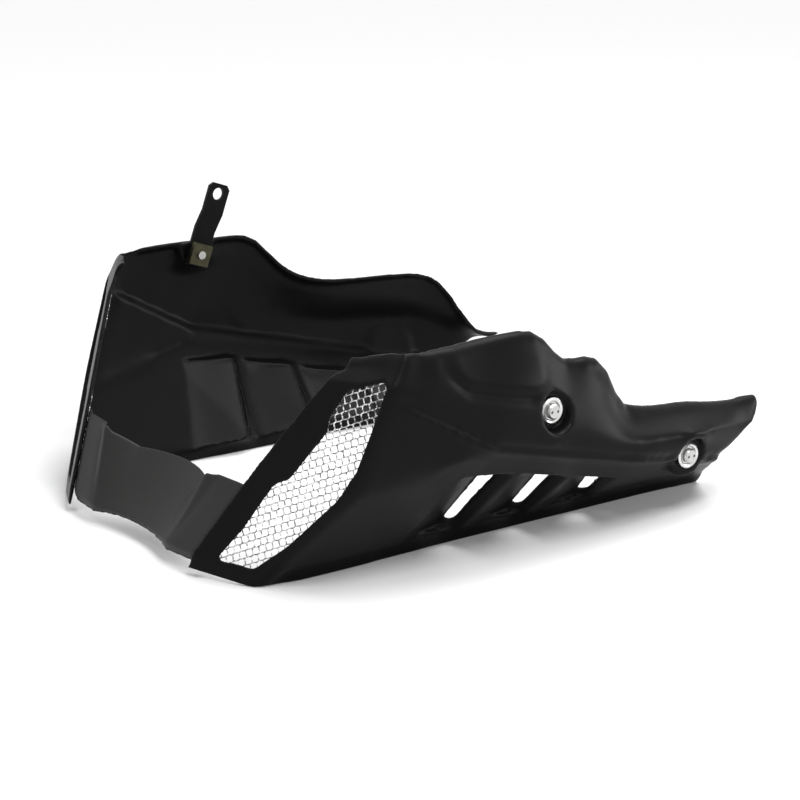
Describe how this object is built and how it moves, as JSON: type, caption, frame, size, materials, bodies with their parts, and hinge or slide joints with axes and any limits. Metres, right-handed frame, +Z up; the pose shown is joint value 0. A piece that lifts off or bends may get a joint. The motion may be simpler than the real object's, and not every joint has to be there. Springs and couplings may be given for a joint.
{
  "type": "motorcycle belly pan",
  "caption": "Satin black motorcycle belly pan: louvred side shells with raked, meshed air inlets, a scooped front bridge and a steel top strap",
  "frame": {"origin": "centre of the bounding box, on the level that the feet of the shells stand on", "axes": "+X to the left shell, +Y to the tail, +Z up"},
  "size_m": [0.383, 0.4353, 0.197],
  "materials": {
    "shell_plastic": "satin black moulded plastic",
    "bridge_plastic": "matt dark grey plastic sheet",
    "mesh_metal": "bright expanded aluminium mesh",
    "washer_steel": "zinc-plated steel",
    "screw_steel": "zinc-plated steel",
    "strap_paint": "black powder coat on steel",
    "clip_plating": "yellow-passivated steel"
  },
  "bodies": {
    "root": {"left_shell": "shell_plastic", "right_shell": "shell_plastic", "front_bridge": "bridge_plastic", "left_grille": "mesh_metal", "right_grille": "mesh_metal", "front_washer": "washer_steel", "front_screw": "screw_steel", "rear_washer": "washer_steel", "rear_screw": "screw_steel", "top_strap": "strap_paint", "clip_nut": "clip_plating", "strap_screw": "screw_steel", "strap_washer": "washer_steel"}
  },
  "joints": []
}
